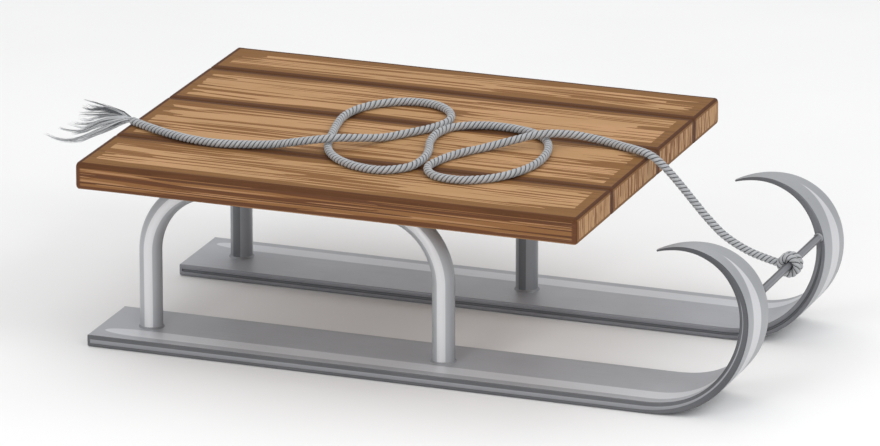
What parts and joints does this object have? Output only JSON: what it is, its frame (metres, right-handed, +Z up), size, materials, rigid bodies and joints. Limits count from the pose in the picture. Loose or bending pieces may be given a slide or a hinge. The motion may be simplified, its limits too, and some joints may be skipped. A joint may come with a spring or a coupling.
{
  "type": "sledge",
  "caption": "Low runner sledge: boarded wooden deck on bent-tube supports and flat metal runners that curl up at the front, with a tow rope knotted to a bar between the curls.",
  "frame": {"origin": "on the ground plane under the middle of the rigid sledge (the box of everything but the rope, its knot and its frayed end)", "axes": "+X forward towards the runner curls, along the boards; +Y to the sledge's left, along the tow bar; +Z up, out of the deck"},
  "size_m": [0.8451, 0.47, 0.2435],
  "materials": {
    "deck_wood": "oiled softwood boards with long brown grain, darker along the edges and on the sawn sides",
    "runner_metal": "satin drawn profile with a bright worn band along the outside of the curl",
    "tube_metal": "smooth satin tube",
    "bar_steel": "satin round bar",
    "strap_steel": "flat steel strip, lightly brushed",
    "screw_zinc": "zinc plated",
    "weld_metal": "rippled weld bead",
    "rope_fibre": "laid grey rope, matt"
  },
  "bodies": {
    "root": {"plank_right_outer": "deck_wood", "plank_right_inner": "deck_wood", "plank_left_inner": "deck_wood", "plank_left_outer": "deck_wood", "strap_rear": "strap_steel", "strap_mid_rear": "strap_steel", "strap_mid_front": "strap_steel", "strap_front": "strap_steel", "wood_screw_rear_1": "screw_zinc", "wood_screw_rear_2": "screw_zinc", "wood_screw_rear_3": "screw_zinc", "wood_screw_rear_4": "screw_zinc", "wood_screw_rear_5": "screw_zinc", "wood_screw_rear_6": "screw_zinc", "wood_screw_mid_rear_1": "screw_zinc", "wood_screw_mid_rear_2": "screw_zinc", "wood_screw_mid_rear_3": "screw_zinc", "wood_screw_mid_rear_4": "screw_zinc", "wood_screw_mid_rear_5": "screw_zinc", "wood_screw_mid_rear_6": "screw_zinc", "wood_screw_mid_front_1": "screw_zinc", "wood_screw_mid_front_2": "screw_zinc", "wood_screw_mid_front_3": "screw_zinc", "wood_screw_mid_front_4": "screw_zinc", "wood_screw_mid_front_5": "screw_zinc", "wood_screw_mid_front_6": "screw_zinc", "wood_screw_front_1": "screw_zinc", "wood_screw_front_2": "screw_zinc", "wood_screw_front_3": "screw_zinc", "wood_screw_front_4": "screw_zinc", "wood_screw_front_5": "screw_zinc", "wood_screw_front_6": "screw_zinc", "crown_screw_right_rear": "screw_zinc", "crown_screw_right_front": "screw_zinc", "crown_screw_left_rear": "screw_zinc", "crown_screw_left_front": "screw_zinc", "arch_tube_right": "tube_metal", "arch_tube_left": "tube_metal", "foot_weld_right_rear": "weld_metal", "foot_weld_right_front": "weld_metal", "foot_weld_left_rear": "weld_metal", "foot_weld_left_front": "weld_metal", "bar_weld_right": "weld_metal", "bar_weld_left": "weld_metal", "runner_right": "runner_metal", "runner_left": "runner_metal", "tow_bar": "bar_steel", "tow_knot": "rope_fibre", "tow_rope": "rope_fibre", "rope_tassel": "rope_fibre"}
  },
  "joints": []
}
